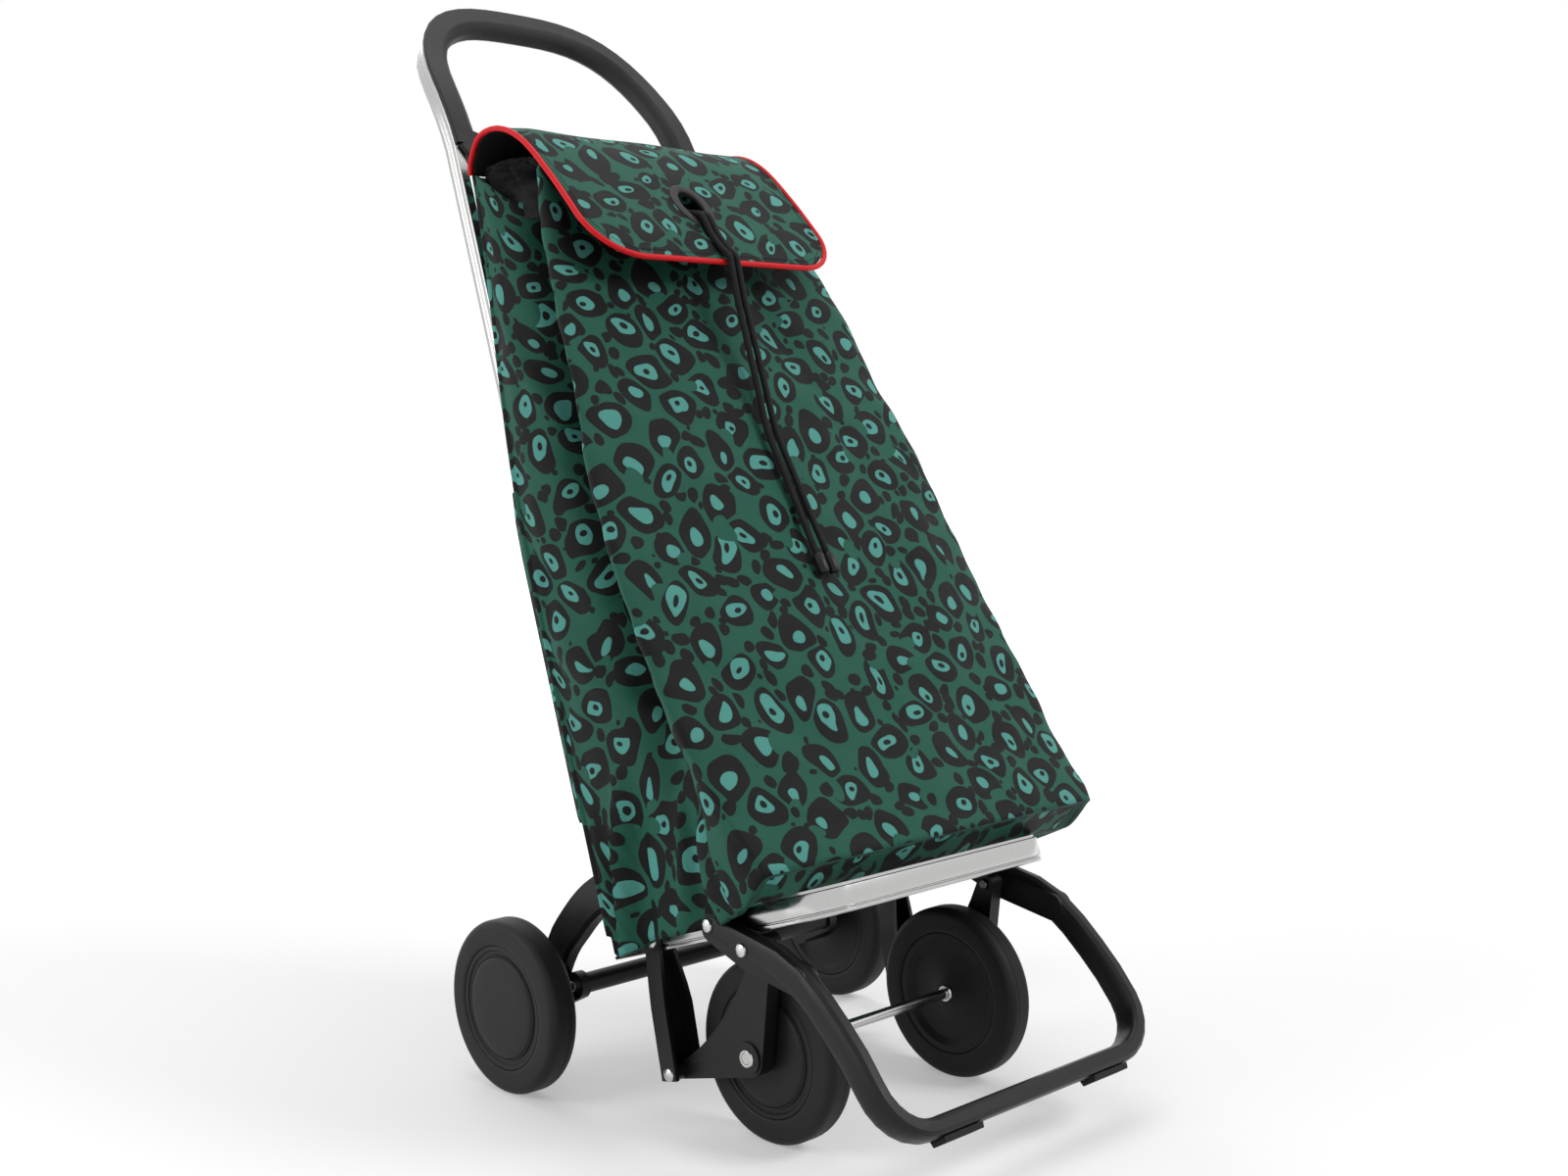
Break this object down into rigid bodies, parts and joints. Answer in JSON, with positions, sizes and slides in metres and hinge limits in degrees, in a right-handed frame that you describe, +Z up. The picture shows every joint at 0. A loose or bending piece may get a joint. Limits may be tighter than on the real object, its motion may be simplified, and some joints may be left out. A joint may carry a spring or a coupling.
{
  "type": "shopping trolley",
  "caption": "Shopping trolley: fabric bag with flap and drawcord on a leaning aluminium frame, big rear wheels, and a linked front undercarriage with foot loop.",
  "frame": {"origin": "floor level under the middle of the overall length and width", "axes": "+Z up, +Y towards the handle and the person who pulls, +X to the right seen from the front"},
  "size_m": [0.461, 0.7542, 1.0698],
  "materials": {
    "polished_aluminium": "polished",
    "bright_steel": "bright",
    "black_moulding": "satin moulded",
    "black_rubber": "matte",
    "print_cloth": "woven, spotted print",
    "black_cloth": "thin woven",
    "red_piping": "smooth piping",
    "black_cord": "braided"
  },
  "bodies": {
    "chassis": {"frame_profile": "polished_aluminium", "handle_grip": "black_moulding", "bag_hanger_left": "bright_steel", "bag_hanger_right": "bright_steel", "heel_bracket_left": "black_moulding", "heel_bracket_right": "black_moulding", "shelf_rail": "polished_aluminium", "rear_arm_left": "black_moulding", "rear_arm_right": "black_moulding", "rear_cross_bar": "black_moulding", "rear_axle_left": "bright_steel", "rear_axle_right": "bright_steel", "bar_bolt_left": "bright_steel", "bar_bolt_right": "bright_steel", "strut_rivet_left": "bright_steel", "strut_rivet_right": "bright_steel", "foot_rivet_left": "bright_steel", "foot_rivet_right": "bright_steel", "bag_shell": "print_cloth", "bag_base_board": "black_moulding", "drawstring_collar": "black_cloth", "rear_pocket": "print_cloth", "flap_root": "print_cloth", "drawcord_left": "black_cord", "drawcord_right": "black_cord", "cord_tip_left": "black_moulding", "cord_tip_right": "black_moulding"},
    "foot": {"foot_loop": "black_moulding", "foot_pad_left": "black_rubber", "foot_pad_right": "black_rubber", "link_rivet_left": "bright_steel", "link_rivet_right": "bright_steel"},
    "strut_left": {"strut_left": "black_moulding", "strut_end_rivet_left": "bright_steel"},
    "strut_right": {"strut_right": "black_moulding", "strut_end_rivet_right": "bright_steel"},
    "front_carriage": {"wheel_arm_left": "black_moulding", "wheel_arm_right": "black_moulding", "front_axle": "bright_steel", "axle_ring_inner_left": "bright_steel", "axle_ring_inner_right": "bright_steel", "axle_ring_outer_left": "bright_steel", "axle_ring_outer_right": "bright_steel"},
    "flap": {"bag_flap": "print_cloth", "flap_piping": "red_piping", "flap_eyelet": "black_moulding"},
    "rear_wheel_left": {"rear_tyre_left": "black_rubber", "rear_hub_left": "black_moulding", "rear_cap_left": "black_moulding"},
    "rear_wheel_right": {"rear_tyre_right": "black_rubber", "rear_hub_right": "black_moulding", "rear_cap_right": "black_moulding"},
    "front_wheel_left": {"front_tyre_left": "black_rubber", "front_hub_left": "black_moulding", "front_cap_left": "black_moulding"},
    "front_wheel_right": {"front_tyre_right": "black_rubber", "front_hub_right": "black_moulding", "front_cap_right": "black_moulding"}
  },
  "joints": [
    {"name": "rear_wheel_left_spin", "type": "hinge", "parent": "chassis", "child": "rear_wheel_left", "pos_m": [-0.21525, 0.08477, 0.0825], "axis": [1, 0, 0], "continuous": true},
    {"name": "rear_wheel_right_spin", "type": "hinge", "parent": "chassis", "child": "rear_wheel_right", "pos_m": [0.21525, 0.08477, 0.0825], "axis": [1, 0, 0], "continuous": true},
    {"name": "front_wheel_left_spin", "type": "hinge", "parent": "front_carriage", "child": "front_wheel_left", "pos_m": [-0.12035, -0.17673, 0.0825], "axis": [1, 0, 0], "continuous": true},
    {"name": "front_wheel_right_spin", "type": "hinge", "parent": "front_carriage", "child": "front_wheel_right", "pos_m": [0.12035, -0.17673, 0.0825], "axis": [1, 0, 0], "continuous": true},
    {"name": "foot_fold", "type": "hinge", "parent": "chassis", "child": "foot", "pos_m": [0, -0.15175, 0.20001], "axis": [1, 0, 0], "range_deg": [0, 24]},
    {"name": "strut_left_fold", "type": "hinge", "parent": "chassis", "child": "strut_left", "pos_m": [0, -0.0602, 0.16395], "axis": [1, 0, 0], "range_deg": [0, 11.7]},
    {"name": "strut_right_fold", "type": "hinge", "parent": "chassis", "child": "strut_right", "pos_m": [0, -0.0602, 0.16395], "axis": [1, 0, 0], "range_deg": [0, 11.7]},
    {"name": "carriage_fold", "type": "hinge", "parent": "strut_left", "child": "front_carriage", "pos_m": [0, -0.08787, 0.04779], "axis": [1, 0, 0], "range_deg": [-5, 0]},
    {"name": "flap_lift", "type": "hinge", "parent": "chassis", "child": "flap", "pos_m": [0, 0.19972, 0.91124], "axis": [-1, 0, 0], "range_deg": [0, 100], "deforming": ["drawcord_left", "drawcord_right"]}
  ],
  "couplings": [
    {"joint": "strut_left_fold", "follows": "foot_fold", "ratio": 0.4846},
    {"joint": "strut_right_fold", "follows": "foot_fold", "ratio": 0.4846},
    {"joint": "carriage_fold", "follows": "foot_fold", "ratio": -0.2067}
  ]
}
